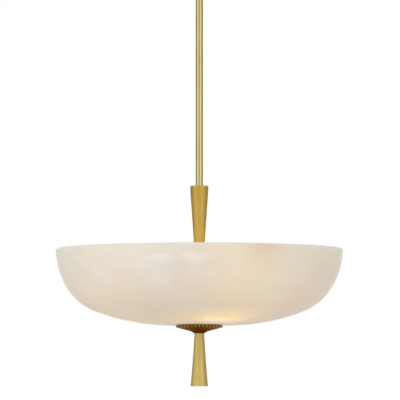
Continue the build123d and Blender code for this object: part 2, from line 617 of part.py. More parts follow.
# Each flute is a cone that starts as a point just under the slope and scoops out the edge between two ribs
flute_half = dish_radius * sin(radians(180 / FLUTE_COUNT)) - FLUTE_RIB / 2
flute_radius = (flute_half ** 2 + FLUTE_DEPTH ** 2) / (2 * FLUTE_DEPTH)
slope_run = dish_radius - slope_low[0]
slope_fall = DISH_SLOPE_DEPTH - DISH_EDGE
slope_length = sqrt(slope_run ** 2 + slope_fall ** 2)
flute_run = slope_run - FLUTE_END_MARGIN
below_slope = Vector(-slope_fall / slope_length, 0, -slope_run / slope_length)
flute_tip = Vector(dish_radius - flute_run, 0, edge_low[1] - flute_run * slope_fall / slope_run)
flute_tip += below_slope * FLUTE_END_FADE
flute_mouth = Vector(dish_radius, 0, edge_low[1])
flute_axis = flute_mouth + below_slope * (flute_radius - FLUTE_DEPTH) - flute_tip
flute_past = 1 + FLUTE_DEPTH / flute_run
flute = Plane(flute_tip, z_dir=flute_axis) * Cone(
    0, flute_radius * flute_past, flute_axis.length * flute_past, align=FROM_BELOW
)

# Each notch is a round cut straight up through the edge, as wide there as the flute that runs into it
edge_bulge = dish_radius - sqrt(dish_radius ** 2 - flute_half ** 2)
notch_reach = EDGE_NOTCH_DEPTH - edge_bulge
notch_radius = (notch_reach ** 2 + flute_half ** 2) / (2 * notch_reach)
notch = Pos(dish_radius - EDGE_NOTCH_DEPTH + notch_radius, 0) * rod(2 * notch_radius, dish_bottom, dish_top)
flute_angles = [(i + 0.5) * 360 / FLUTE_COUNT for i in range(FLUTE_COUNT)]
nodes["fluted_dish"] = dish - [Rot(0, 0, angle) * cut for angle in flute_angles for cut in (flute, notch)]

# Finial: a hollow trumpet with its mouth down, screwed on the spindle's end
finial_top_radius = FINIAL_TOP_DIAMETER / 2
finial_mouth = FINIAL_MOUTH_DIAMETER / 2
lip_level = finial_bottom + FINIAL_LIP
side_end = finial_mouth - FINIAL_LIP_STEP
plug_top = finial_bottom + PLUG_RECESS + PLUG_THICKNESS
plug_seat = finial_mouth - PLUG_LEDGE
crown = FINIAL_THREAD + FINIAL_CROWN_SPARE
crown_level = dish_bottom - crown
crown_in = finial_top_radius + (side_end - finial_top_radius) * crown / FINIAL_LENGTH - FINIAL_WALL
cavity_end = side_end - FINIAL_WALL
nodes["finial"] = turned(
    bowed_side((finial_top_radius, dish_bottom), (side_end, lip_level), FINIAL_BOW),
    Polyline(
        (side_end, lip_level), (finial_mouth, lip_level), (finial_mouth, finial_bottom),
        (plug_seat, finial_bottom), (plug_seat, plug_top), (cavity_end, plug_top)
    ),
    bowed_side((cavity_end, plug_top), (crown_in, crown_level), FINIAL_BOW),
    Polyline(
        (crown_in, crown_level), (spindle_hole / 2, crown_level), (spindle_hole / 2, dish_bottom),
        (finial_top_radius, dish_bottom)
    )
)
nodes["finial_plug"] = rod(2 * (plug_seat - TUBE_PLAY), finial_bottom + PLUG_RECESS, plug_top)

# Leads down the stem, side by side in the spindle's bore, from above the swivel to the spindle's slot
lead_names = ("lead_live", "lead_neutral", "lead_earth")
lead = Pos(lead_circle, 0) * rod(LEAD_DIAMETER, lamp_level, lead_top)
for turn, name in enumerate(lead_names):
    nodes[name] = Rot(0, 0, FIRST_LEAD_ANGLE + turn * 360 / len(lead_names)) * lead

# Two leads to each lampholder, through its nipple
socket_lead = rod(SOCKET_LEAD_DIAMETER, SOCKET_LEAD_INSIDE - foot_radius, SOCKET_LEAD_DEPTH)
socket_lead_side = NIPPLE_BORE / 2 - SOCKET_LEAD_DIAMETER / 2 - WIRE_PLAY
nodes["socket_leads"] = [
    lamp_place(angle, foot_radius) * Pos(0, side * socket_lead_side) * socket_lead
    for angle in lamp_angles
    for side in (-1, 1)
]

os.makedirs("parts", exist_ok=True)
for name, shape in nodes.items():
    solids = shape if isinstance(shape, list) else [shape]
    export_step(Compound(children=[Solid(s.solid().wrapped) for s in solids]), f"parts/{name}.step")
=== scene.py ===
from math import asin, atan2, cos, pi, radians, sin, tan

import bpy
import numpy as np
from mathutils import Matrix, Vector


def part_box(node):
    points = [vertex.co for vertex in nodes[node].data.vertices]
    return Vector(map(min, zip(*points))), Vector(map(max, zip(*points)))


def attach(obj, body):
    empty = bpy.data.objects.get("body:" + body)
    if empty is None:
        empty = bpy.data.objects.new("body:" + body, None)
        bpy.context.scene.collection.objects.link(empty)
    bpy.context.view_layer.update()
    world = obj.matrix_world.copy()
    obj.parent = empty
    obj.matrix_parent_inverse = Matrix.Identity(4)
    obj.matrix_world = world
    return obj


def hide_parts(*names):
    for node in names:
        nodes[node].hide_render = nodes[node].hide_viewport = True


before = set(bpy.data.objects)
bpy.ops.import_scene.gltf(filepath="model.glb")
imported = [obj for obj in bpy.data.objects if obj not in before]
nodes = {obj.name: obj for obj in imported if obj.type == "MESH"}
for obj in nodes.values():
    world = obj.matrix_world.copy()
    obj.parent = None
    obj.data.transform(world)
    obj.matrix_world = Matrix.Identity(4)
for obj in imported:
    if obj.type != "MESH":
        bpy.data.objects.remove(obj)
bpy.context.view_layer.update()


# Mounting strap, washers, spindle and bowl nut. Steel with a thin zinc plating, pale grey with a fine
# crystal mottle. The strap is screwed to the ceiling box through the slots at its ends. The spindle goes
# down through the bowl, which its nut holds between two of the washers.
def tint(red, green, blue):
    """Colour for a shader from its usual 0 to 255 values: the display curve undone, and full opacity."""
    shares = np.array([red, green, blue]) / 255
    linear = np.where(shares <= 0.04045, shares / 12.92, ((shares + 0.055) / 1.055) ** 2.4)
    return (*linear, 1.0)


def wire(material, kind, inputs=None, **settings):
    """Adds a node to a material, sets its properties, and fills its sockets with values or other outputs."""
    made = material.node_tree.nodes.new(kind)
    for key, value in settings.items():
        setattr(made, key, value)
    for key, value in (inputs or {}).items():
        if isinstance(value, bpy.types.NodeSocket):
            material.node_tree.links.new(value, made.inputs[key])
        else:
            made.inputs[key].default_value = value
    return made


def new_finish(name, **sockets):
    """Material with one surface shader, whose sockets take constants."""
    material = bpy.data.materials.new(name)
    material.use_nodes = True
    shader = material.node_tree.nodes["Principled BSDF"]
    for key, value in sockets.items():
        shader.inputs[key.replace("_", " ")].default_value = value
    return material


def feed(material, socket, output):
    """Links an output to a socket of the material's surface shader."""
    material.node_tree.links.new(output, material.node_tree.nodes["Principled BSDF"].inputs[socket])


def noise(material, blobs, detail, turn=(0.0, 0.0, 0.0)):
    """Smooth random pattern on the object's own coordinates, with so many blobs a metre along X, Y and Z."""
    where = wire(material, "ShaderNodeTexCoord").outputs["Object"]
    mapped = wire(material, "ShaderNodeMapping", {"Vector": where, "Scale": blobs, "Rotation": turn})
    made = wire(material, "ShaderNodeTexNoise", {
        "Vector": mapped.outputs["Vector"], "Scale": 1.0, "Detail": detail,
    })
    return made.outputs["Fac"]


def ramp(material, value, span, target=(0, 1)):
    """Carries a pattern's value from one span over to another in a straight line, held at both ends."""
    made = wire(material, "ShaderNodeMapRange", {
        "Value": value, "From Min": span[0], "From Max": span[1], "To Min": target[0], "To Max": target[1],
    })
    return made.outputs["Result"]


def blend(material, share, first, second):
    """Mixes two colours by a share from 0 to 1, in the mixing node's sockets for colours."""
    made = wire(material, "ShaderNodeMix", {0: share, 6: first, 7: second}, data_type="RGBA")
    return made.outputs[2]


def bump(material, height, distance):
    """Fine relief of a given height, in metres, from a pattern."""
    made = wire(material, "ShaderNodeBump", {"Height": height, "Distance": distance, "Strength": 1.0})
    feed(material, "Normal", made.outputs["Normal"])


# Nearly all values of a random pattern lie in this span.
NOISE_SPAN = (0.3, 0.7)


def mottled(name, blobs, detail, dark, light, roughness, contrast=(0, 1), relief=0.0, **sockets):
    """Finish whose colour and roughness follow one random pattern.

    The colour goes from dark to light while the pattern's value goes through the span of the contrast, and
    the roughness goes from its first value to its second.
    """
    finish = new_finish(name, **sockets)
    pattern = noise(finish, blobs, detail)
    feed(finish, "Base Color", blend(finish, ramp(finish, pattern, contrast), dark, light))
    feed(finish, "Roughness", ramp(finish, pattern, NOISE_SPAN, roughness))
    if relief:
        bump(finish, pattern, relief)
    return finish


def dress(material, *names):
    """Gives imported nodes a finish."""
    for name in names:
        for slot in nodes[name].material_slots:
            slot.material = material


zinc = mottled(
    "zinc_steel", blobs=(420, 420, 420), detail=4.0, dark=tint(176, 176, 170), light=tint(214, 214, 208),
    roughness=(0.28, 0.46), contrast=(0.35, 0.65), relief=0.00001, Metallic=1.0,
)
dress(zinc, "mounting_strap", "swivel_washer", "inner_washer", "bowl_washer", "bowl_lock_nut", "spindle")

# Canopy studs. Two lengths of threaded steel rod, screwed through the strap.
# The thread is rolled, so its crests and roots are round, and each end is chamfered.
STUD_PITCH = 0.0007
ROWS_PER_PITCH = 5
THREAD_COLUMNS = 32
ROUND_COLUMNS = 96
SHARP_ANGLE = radians(38)
MERGING_DIGITS = 7


def spun(radius, level, columns=ROUND_COLUMNS):
    """Grid of a turned shape: each row's radius, carried round Z at the row's level.

    A row has one radius, or one for each column where it changes on the way round.
    """
    around = np.linspace(0, 2 * pi, columns, endpoint=False)
    radius = np.broadcast_to(np.reshape(radius, (len(level), -1)), (len(level), columns))
    height = np.broadcast_to(np.reshape(level, (-1, 1)), radius.shape)
    return np.stack([radius * np.cos(around), radius * np.sin(around), height], -1)


def skin(name, grids, finish, slot, body, *replaced, **shades):
    """Piece over grids of points whose rows run once round: four neighbours make two triangles.

    Points that coincide are merged and triangles that this flattens are dropped, so a row drawn together to
    one point closes an end, and a last row that repeats the first closes a ring. Faces are turned outwards.
    Each shade is a number for every point, kept as an attribute for the finish.
    """
    corners = []
    first = 0
    for grid in grids:
        index = first + np.arange(grid.shape[0] * grid.shape[1]).reshape(grid.shape[:2])
        beside = np.roll(index, -1, axis=1)
        quad = np.stack([index[:-1], beside[:-1], beside[1:], index[1:]], -1).reshape(-1, 4)
        corners += [quad[:, [0, 1, 2]], quad[:, [0, 2, 3]]]
        first += index.size
    points = np.concatenate([grid.reshape(-1, 3) for grid in grids])
    places = np.round(points, MERGING_DIGITS)
    kept, merged = np.unique(places, axis=0, return_index=True, return_inverse=True)[1:]
    triangles = merged.reshape(-1)[np.concatenate(corners)]
    one, two, three = triangles.T
    triangles = triangles[(one != two) & (two != three) & (three != one)]
    points = points[kept]
    one, two, three = points[triangles].transpose(1, 0, 2)
    if np.sum(one * np.cross(two, three)) < 0:
        triangles = triangles[:, ::-1]
    mesh = bpy.data.meshes.new(name)
    mesh.from_pydata(points.tolist(), [], triangles.tolist())
    mesh.shade_smooth()
    mesh.set_sharp_from_angle(angle=SHARP_ANGLE)
    for key, values in shades.items():
        layer = mesh.attributes.new(key, "FLOAT", "POINT")
        layer.data.foreach_set("value", values.reshape(-1)[kept].astype(np.float32))
    mesh.materials.append(finish)
    piece = bpy.data.objects.new(name, mesh)
    bpy.context.scene.collection.objects.link(piece)
    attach(piece, body)
    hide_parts(*replaced)


def threaded(radius, bore, pitch, bottom, top):
    """Grid of a threaded rod or tube: the radius swings once a pitch, and a turn later it is one pitch up.

    The thread is half a pitch deep, and each end is chamfered down to its root. A bore of 0 makes a rod.
    """
    level = np.linspace(bottom, top, 1 + ROWS_PER_PITCH * round((top - bottom) / pitch))
    turn = np.linspace(0, 1, THREAD_COLUMNS, endpoint=False)
    swing = 0.5 + 0.5 * np.cos(2 * pi * (level[:, None] / pitch - turn))
    to_end = np.minimum(level - bottom, top - level)[:, None]
    thread = np.minimum(radius - 0.5 * pitch * swing, radius - 0.5 * pitch + to_end)
    inside = np.full_like(thread[:1], bore)
    rows = np.concatenate([inside, thread, inside, inside])
    return spun(rows, np.concatenate([[bottom], level, [top, bottom]]), THREAD_COLUMNS)


def pair(grid, side):
    """The two copies of a grid, at equal distances to the left and right of the axis."""
    return [grid - (side, 0, 0), grid + (side, 0, 0)]


stud_low, stud_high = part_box("canopy_studs")
stud_radius = stud_high.y
stud_side = stud_high.x - stud_radius
stud = threaded(stud_radius, 0, STUD_PITCH, stud_low.z, stud_high.z)
skin("threaded_studs", pair(stud, stud_side), zinc, "zinc_steel", "ceiling_mount", "canopy_studs")

# Lock nuts on the studs and above the swivel ball. Hexagon steel bar, drilled, tapped and faced,
# with both faces turned back to a cone so that the corners don't cut the fingers.
NIPPLE_BORE = 0.00495
FLAT_ANGLE = radians(60)
NUT_FACE = 0.95
NUT_CONE = radians(30)
NUT_CONE_ROWS = 7


def hexagon_nut(flat, bore, bottom, top):
    """Grid of a nut: at each angle the lesser of the hexagon's radius and that of a circle.

    The hexagon's radius is its flat distance over the cosine of the angle from the middle of the flat. The
    circle grows up a cone, from the face, which is a share of the flat distance, to the corners.
    """
    face = NUT_FACE * flat
    grown = np.linspace(face, flat / cos(FLAT_ANGLE / 2), NUT_CONE_ROWS)
    rise = (grown - face) * tan(NUT_CONE)
    circle = np.concatenate([[bore], grown, grown[::-1], [bore, bore]])
    level = np.concatenate([[bottom], bottom + rise, top - rise[::-1], [top, bottom]])
    angle = np.linspace(0, 2 * pi, ROUND_COLUMNS, endpoint=False)
    hexagon = flat / np.cos(np.mod(angle, FLAT_ANGLE) - FLAT_ANGLE / 2)
    return spun(np.minimum(circle[:, None], hexagon), level)


def nut_from(node, bore):
    """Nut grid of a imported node's size, with its middle on the axis."""
    low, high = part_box(node)
    return hexagon_nut(high.y, bore, low.z, high.z)


stud_nut = nut_from("stud_lock_nuts", stud_radius)
skin("stud_nuts", pair(stud_nut, stud_side), zinc, "zinc_steel", "ceiling_mount", "stud_lock_nuts")
swivel_nut = nut_from("swivel_lock_nut", NIPPLE_BORE)
skin("swivel_nut", [swivel_nut], zinc, "zinc_steel", "pendant", "swivel_lock_nut")

# Earth screw. Steel, dipped in green so that it is known for the earth wire, with small paler spots.
# It is screwed into the strap.
green_dip = mottled(
    "green_screw", blobs=(700, 700, 700), detail=4.0, dark=tint(38, 104, 58), light=tint(70, 140, 88),
    roughness=(0.3, 0.5), contrast=(0.4, 0.7), Metallic=0.55,
)
dress(green_dip, "earth_screw")

# Canopy, lamp cluster and distance sleeve. Brass, spun or turned, brushed along the axis to a satin face
# and lacquered, so that fine streaks run up and down it. The canopy covers the strap, and the cluster is
# on the inner stem, inside the bowl.
RINGS_PER_METRE = 1500.0
UPRIGHT_TO_LEVEL = (0.6, 0.8)
TARNISH_CLOUDS = (26, 26, 13)
BROAD_STROKES = (260, 260, 5)
LENGTHWISE = (1600, 1600, 14)
CLEAN_SPAN = (0.14, 0.36)
MARK_SPAN = (0.35, 0.65)
HIGHLIGHT_SPREAD = 0.75
LACQUERED = 0.88


def rings(material):
    """Rings round Z, as a lathe leaves on a flat face: a random pattern of the distance from the axis."""
    where = wire(material, "ShaderNodeTexCoord").outputs["Object"]
    flat = wire(material, "ShaderNodeVectorMath", {0: where, 1: (1, 1, 0)}, operation="MULTIPLY")
    away = wire(material, "ShaderNodeVectorMath", {0: flat.outputs["Vector"]}, operation="LENGTH")
    made = wire(material, "ShaderNodeTexNoise", {
        "W": away.outputs["Value"], "Scale": RINGS_PER_METRE,
    }, noise_dimensions="1D")
    return made.outputs["Fac"]


def combine(material, operation, first, second=0.0):
    """One step of arithmetic on patterns or numbers."""
    return wire(material, "ShaderNodeMath", {0: first, 1: second}, operation=operation).outputs["Value"]


def level_faces(material):
    """1 on faces that look up or down, and 0 on upright ones: a ramp of the size of the normal's Z."""
    normal = wire(material, "ShaderNodeTexCoord").outputs["Normal"]
    upward = wire(material, "ShaderNodeSeparateXYZ", {"Vector": normal}).outputs["Z"]
    return ramp(material, combine(material, "ABSOLUTE", upward), UPRIGHT_TO_LEVEL)


def between(material, share, first, second):
    """Mixes two patterns by a share from 0 to 1, in the mixing node's sockets for numbers."""
    return wire(material, "ShaderNodeMix", {0: share, 2: first, 3: second}).outputs[0]


def brushed_brass(name, deep, pale, roughness, streaks, relief, spread=0.0, metal=1.0):
    """Brass whose colour and roughness follow streaks on its sides, rings on its faces and tarnish.

    Its highlight spreads round the axis, across the brushing. Under a hazy lacquer less of the light comes
    back as from bare metal.
    """
    brass = new_finish(name, Metallic=metal, Anisotropic=spread)
    around = wire(brass, "ShaderNodeTangent", direction_type="RADIAL", axis="Z")
    feed(brass, "Tangent", around.outputs["Tangent"])
    level = level_faces(brass)
    streak = between(brass, level, noise(brass, streaks, detail=2.0), rings(brass))
    stroke = between(brass, level, noise(brass, BROAD_STROKES, detail=2.0), streak)
    mark = between(brass, 0.5, streak, stroke)
    clean = combine(brass, "MULTIPLY", mark, noise(brass, TARNISH_CLOUDS, detail=3.0))
    feed(brass, "Base Color", blend(brass, ramp(brass, clean, CLEAN_SPAN), deep, pale))
    feed(brass, "Roughness", ramp(brass, mark, MARK_SPAN, roughness))
    bump(brass, streak, relief)
    return brass


satin_brass = brushed_brass(
    "satin_brass", deep=tint(217, 182, 86), pale=tint(235, 199, 101), roughness=(0.48, 0.34),
    streaks=LENGTHWISE, relief=0.00001, spread=HIGHLIGHT_SPREAD, metal=LACQUERED,
)
dress(satin_brass, "canopy", "cluster_body", "cluster_cover", "distance_sleeve")

# Cap nuts. Turned brass knobs that screw on the studs and hold the canopy up.
# The side has a diamond knurl for the fingers, and the underside is domed.
KNURL_ROUND = 34
KNURL_STEP = 0.0010
KNURL_DEPTH = 0.00028
KNURL_ROWS = 36
COLUMNS_PER_RIDGE = 6
CAP_NUT_SIDE = 0.0070
CAP_NUT_EASE = 0.0007
DOME_ROWS = 14


def cap_nut_grid(radius, bore, blind, bottom, top):
    """Grid of a cap nut: a blind bore, a knurled side and a domed end.

    Two sets of ridges wind opposite ways round the side, each a saw of straight slopes, and the knurl
    stands as high as the lower of the two, less near the ends of the band. The dome is a quarter ellipse.
    """
    dome_top = top - CAP_NUT_SIDE
    level = np.linspace(top - CAP_NUT_EASE, dome_top + CAP_NUT_EASE, KNURL_ROWS)
    turn = np.linspace(0, KNURL_ROUND, COLUMNS_PER_RIDGE * KNURL_ROUND, endpoint=False)
    climb = level[:, None] / KNURL_STEP
    right = 2 * np.abs(np.mod(turn + climb, 1) - 0.5)
    left = 2 * np.abs(np.mod(turn - climb, 1) - 0.5)
    to_end = np.minimum(level[0] - level, level - level[-1])[:, None]
    cut = KNURL_DEPTH * (1 - np.minimum(right, left)) * np.clip(to_end / KNURL_STEP, 0, 1)
    rise = np.linspace(0, pi / 2, DOME_ROWS)
    dome = radius * np.cos(rise)[:, None] + 0 * turn
    bore_rows = np.array([0, bore, bore, radius - CAP_NUT_EASE])[:, None] + 0 * turn
    dome_level = dome_top - (dome_top - bottom) * np.sin(rise)
    levels = np.concatenate([[blind, blind, top, top], level, dome_level])
    return spun(np.concatenate([bore_rows, radius - cut, dome]), levels, turn.size)


cap_low, cap_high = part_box("canopy_cap_nuts")
cap_nuts = pair(cap_nut_grid(cap_high.y, stud_radius, stud_low.z, cap_low.z, cap_high.z), stud_side)
skin("knurled_cap_nuts", cap_nuts, satin_brass, "satin_brass", "ceiling_mount", "canopy_cap_nuts")

# Swivel seat ring, bowl bush and splice caps. Moulded nylon, off white, with a faint grain from the mould.
# The ring turns in the canopy's hole and holds the ball in its hollow.
nylon = mottled(
    "white_nylon", blobs=(900, 900, 900), detail=3.0, dark=tint(232, 228, 216), light=tint(244, 242, 234),
    roughness=(0.42, 0.55), relief=0.00002, Subsurface_Weight=0.2, Subsurface_Scale=0.002,
)
dress(nylon, "swivel_seat_ring", "bowl_hole_bush", "splice_caps")

# Stem, inner stem and swivel ball. Drawn brass tube and a turned ball, buffed to a soft polish.
# The stem hangs from the ball, and the inner stem goes on down through the trumpet.
polished_brass = brushed_brass(
    "polished_brass", deep=tint(236, 216, 146), pale=tint(242, 226, 160), roughness=(0.25, 0.11),
    streaks=LENGTHWISE, relief=0.000003,
)
dress(polished_brass, "swivel_ball", "stem_tube", "inner_stem")

# Nipples, bush, coupling and contacts. Brass as it comes off the lathe, with fine rings round the axis.
# They join the ball, the stem, the cluster and the lampholders.
NIPPLE_PITCH = 0.0010
NIPPLE_HOLE = 0.0035
LATHE_RINGS = (90, 90, 2600)
LAMP_COUNT = 3


def each_lamp(node):
    """Names of the nodes of a kind that every lamp has one of."""
    return [f"{node}_{lamp}" for lamp in range(1, LAMP_COUNT + 1)]


turned_brass = brushed_brass(
    "turned_brass", deep=tint(206, 172, 96), pale=tint(232, 202, 126), roughness=(0.33, 0.19),
    streaks=LATHE_RINGS, relief=0.00001,
)
dress(turned_brass, "stem_top_bush", "stem_coupling", "socket_nipples", *each_lamp("centre_contact"))
nipple_low, nipple_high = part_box("top_nipple")
nipple = threaded(nipple_high.y, NIPPLE_HOLE, NIPPLE_PITCH, nipple_low.z, nipple_high.z)
skin("threaded_nipple", [nipple], turned_brass, "turned_brass", "pendant", "top_nipple")

# Trumpet, its band and its collar. Turned brass: the band closes the mouth round the stem, the sleeve
# tapers down to the bowl, and the collar on the inner stem carries both. Every edge is broken by hand.
EDGE_EASE = 0.0006
EASE_ROWS = 6
FLARE_ROWS = 28
TINY = 1e-9
TRUMPET_NECK = 0.0103
TRUMPET_BOW = 0.0003
TRUMPET_WALL = 0.0020
TRUMPET_WEB = 0.0060
STEM_BORE = 0.00815
INNER_STEM_BORE = 0.00665


def unit(steps):
    """Steps of radius and level, each made one long. A step of no length stays as it is."""
    return steps / np.maximum(np.linalg.norm(steps, axis=1, keepdims=True), TINY)


def eased(corners, ease):
    """Outline through corners of radius and level, each eased by a parabola.

    From s = 0 to 1 the parabola is corner + back·ease·(1 − s)² + on·ease·s², where back and on point to
    the corners before and after it. An ease of 0 keeps a corner sharp, and so are the first and the last.
    """
    corner = np.array(corners, float)
    ease = np.array(ease, float) * np.ones(len(corner))
    ease[[0, -1]] = 0
    on = unit(np.diff(corner, axis=0, append=corner[-1:]))
    back = unit(-np.diff(corner, axis=0, prepend=corner[:1]))
    s = np.linspace(0, 1, EASE_ROWS)[None, :, None]
    bend = back[:, None] * (1 - s) ** 2 + on[:, None] * s ** 2
    path = (corner[:, None] + ease[:, None, None] * bend).reshape(-1, 2)
    moved = np.linalg.norm(np.diff(path, axis=0), axis=1) > TINY
    return path[np.concatenate([[True], moved])]


def flared(start, end, bow):
    """Side of a flared tube between two corners, drawn in to the axis by a parabola, deepest halfway."""
    share = np.linspace(0, 1, FLARE_ROWS)[:, None]
    side = np.array(start) + share * (np.array(end) - np.array(start))
    side[:, 0] -= 4 * bow * (share * (1 - share))[:, 0]
    return side


def outline(*stretches):
    """One list of corners from single corners and whole sides."""
    return np.concatenate([np.reshape(stretch, (-1, 2)) for stretch in stretches])


def turn_piece(name, path, finish, node):
    """Piece of satin brass on the pendant, turned from a closed outline of radius and level."""
    skin(name, [spun(path[:, 0], path[:, 1])], finish, "satin_brass", "pendant", node)


band_low, band_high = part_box("trumpet_cap")
trumpet_low, trumpet_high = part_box("upper_trumpet")
mouth = trumpet_high.x
mouth_in = mouth - TRUMPET_WALL
spigot = mouth_in - EDGE_EASE
band_corners = [
    (STEM_BORE, band_low.z), (spigot, band_low.z), (spigot, trumpet_high.z), (mouth, trumpet_high.z),
    (mouth, band_high.z), (STEM_BORE, band_high.z), (STEM_BORE, band_low.z),
]
turn_piece("trumpet_band", eased(band_corners, EDGE_EASE), satin_brass, "trumpet_cap")

web_top = trumpet_low.z + TRUMPET_WEB
web_in = TRUMPET_NECK - TRUMPET_WALL
sleeve_side = flared((TRUMPET_NECK, trumpet_low.z), (mouth, trumpet_high.z), TRUMPET_BOW)
sleeve_corners = outline((INNER_STEM_BORE, trumpet_low.z), sleeve_side, (mouth_in, trumpet_high.z))
sleeve_eases = np.zeros(len(sleeve_corners))
sleeve_eases[[1, -2]] = EDGE_EASE
sleeve_path = outline(
    eased(sleeve_corners, sleeve_eases), (web_in, web_top), (INNER_STEM_BORE, web_top),
    (INNER_STEM_BORE, trumpet_low.z),
)
turn_piece("trumpet_sleeve", sleeve_path, satin_brass, "upper_trumpet")

collar_low, collar_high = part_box("trumpet_collar")
collar_corners = [
    (INNER_STEM_BORE, collar_high.z), (INNER_STEM_BORE, collar_low.z), (collar_high.x, collar_low.z),
    (collar_high.x, collar_high.z), (INNER_STEM_BORE, collar_high.z),
]
turn_piece("trumpet_ring", eased(collar_corners, EDGE_EASE), satin_brass, "trumpet_collar")

# Lampholders. Porcelain with a clear white glaze, in which faint clouds show.
# Each is screwed to a boss of the cluster by a hollow nipple.
porcelain = mottled(
    "porcelain", blobs=(60, 60, 60), detail=4.0, dark=tint(228, 224, 214), light=tint(244, 242, 236),
    roughness=(0.16, 0.26), Coat_Weight=0.6, Coat_Roughness=0.08,
)
dress(porcelain, *each_lamp("lampholder"))

# Screw shells, lamp caps and lamp tips. Thin metal with a nickel plating. The thread is rolled into the
# sheet, so that shell and cap wave in step and the lamp screws in until its tip meets the centre contact.
FIRST_LAMP = radians(-70)
LAMP_ANGLES = FIRST_LAMP + 2 * pi / LAMP_COUNT * np.arange(LAMP_COUNT)
HOLDER_FOOT = 0.0300
SHELL_START = 0.0160
SHELL_END = 0.0420
SHELL_WALL = 0.0008
SHELL_HOLE = 0.0058
SHELL_ROWS = 60
CAP_TIP = 0.0045
CAP_START = 0.0212
CAP_TAPER = 0.0035
CAP_END = 0.0463
CAP_ROWS = 50
SCREW_PITCH = 0.0036
SCREW_DEPTH = 0.0011
SCREW_COLUMNS = 48
nickel = mottled(
    "nickel_plate", blobs=(500, 500, 500), detail=3.0, dark=tint(196, 192, 184), light=tint(222, 219, 212),
    roughness=(0.16, 0.3), Metallic=1.0,
)
dress(nickel, *each_lamp("lamp_tip"))


def rolled(radius, level, to_end):
    """Radius of a rolled thread at each level and angle: a wave inwards, which climbs one pitch a turn.

    Over the last half pitch before its end the wave fades in a straight line.
    """
    turn = np.linspace(0, 1, SCREW_COLUMNS, endpoint=False)
    wave = 0.5 - 0.5 * np.cos(2 * pi * (level[:, None] / SCREW_PITCH - turn))
    return radius - SCREW_DEPTH * wave * np.clip(to_end / (SCREW_PITCH / 2), 0, 1)[:, None]


def plain(*radii):
    """Rows of a plain round radius."""
    return np.array(radii)[:, None] * np.ones(SCREW_COLUMNS)


def along_arm(grid, angle, level):
    """Lays a grid drawn about Z along a lamp's arm: its Z runs outwards from the lampholder's foot."""
    down, side, outward = np.moveaxis(grid, -1, 0)
    outward = outward + HOLDER_FOOT
    return np.stack([
        outward * cos(angle) - side * sin(angle), outward * sin(angle) + side * cos(angle), level - down,
    ], -1)


lamp_cap_low, lamp_cap_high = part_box("lamp_cap_1")
lamp_level = (lamp_cap_low.z + lamp_cap_high.z) / 2
cap_radius = lamp_cap_high.z - lamp_level
cap_rows = np.linspace(CAP_START + CAP_TAPER, CAP_END, CAP_ROWS)
cap_grid = spun(
    np.concatenate([plain(0, CAP_TIP), rolled(cap_radius, cap_rows, CAP_END - cap_rows), plain(0)]),
    np.concatenate([[CAP_START, CAP_START], cap_rows, [CAP_END]]), SCREW_COLUMNS
)
shell_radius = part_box("screw_shell_1")[1].z - lamp_level
shell_floor = SHELL_START + SHELL_WALL
shell_rows = np.linspace(shell_floor, SHELL_END, SHELL_ROWS)
shell_to_end = np.minimum(shell_rows - shell_floor, SHELL_END - shell_rows)
shell_outside = rolled(shell_radius, shell_rows, shell_to_end)
shell_inside = rolled(shell_radius - SHELL_WALL, shell_rows, shell_to_end)[::-1]
hole_rows = plain(SHELL_HOLE, SHELL_HOLE)
shell_grid = spun(
    np.concatenate([plain(SHELL_HOLE, shell_radius), shell_outside, shell_inside, hole_rows]),
    np.concatenate([[SHELL_START] * 2, shell_rows, shell_rows[::-1], [shell_floor, SHELL_START]]),
    SCREW_COLUMNS
)
for lamp, angle in enumerate(LAMP_ANGLES, start=1):
    cap = along_arm(cap_grid, angle, lamp_level)
    skin(f"threaded_cap_{lamp}", [cap], nickel, "nickel_plate", "pendant", f"lamp_cap_{lamp}")
    shell = along_arm(shell_grid, angle, lamp_level)
    skin(f"threaded_shell_{lamp}", [shell], nickel, "nickel_plate", "pendant", f"screw_shell_{lamp}")

# Lamp bodies. White moulded housings with a fine matt grain, between the screw cap and the globe.
# The cap is pressed on one end of each, and the globe is set on the rim of the other.
housing = mottled(
    "lamp_housing", blobs=(1100, 1100, 1100), detail=3.0, dark=tint(226, 226, 222),
    light=tint(240, 240, 237), roughness=(0.38, 0.5), relief=0.00002,
)
dress(housing, *each_lamp("lamp_body"))

# Lamp globes. Blown opal glass, lit warm from within. Each is a thin hollow ball, set on the rim of its
# lamp's body, and its mouth is melted to a round edge.
GLOBE_GLOW = 8.8
GLOBE_RADIUS = 0.0300
GLOBE_WALL = 0.0015
GLOBE_END = 0.1272
GLOBE_MOUTH_ANGLE = radians(60)
MOUTH_EASE = 0.0004
GLOBE_ROWS = 40
GLOBE_COLUMNS = 64
OPAL_CLOUDS = (40, 40, 40)
opal = new_finish("opal_glass", Roughness=0.25, Emission_Strength=GLOBE_GLOW)
milk = noise(opal, OPAL_CLOUDS, detail=2.0)
feed(opal, "Base Color", blend(opal, milk, tint(246, 236, 216), tint(252, 246, 232)))
feed(opal, "Emission Color", blend(opal, milk, tint(255, 239, 197), tint(255, 243, 208)))


def globe_side(radius):
    """Side of a ball from the level of the mouth out to its far pole: an arc about the globe's centre."""
    mouth_rise = -asin(GLOBE_RADIUS * cos(GLOBE_MOUTH_ANGLE) / radius)
    rise = np.linspace(mouth_rise, pi / 2, GLOBE_ROWS)
    return np.stack([radius * np.cos(rise), GLOBE_END - GLOBE_RADIUS + radius * np.sin(rise)], 1)


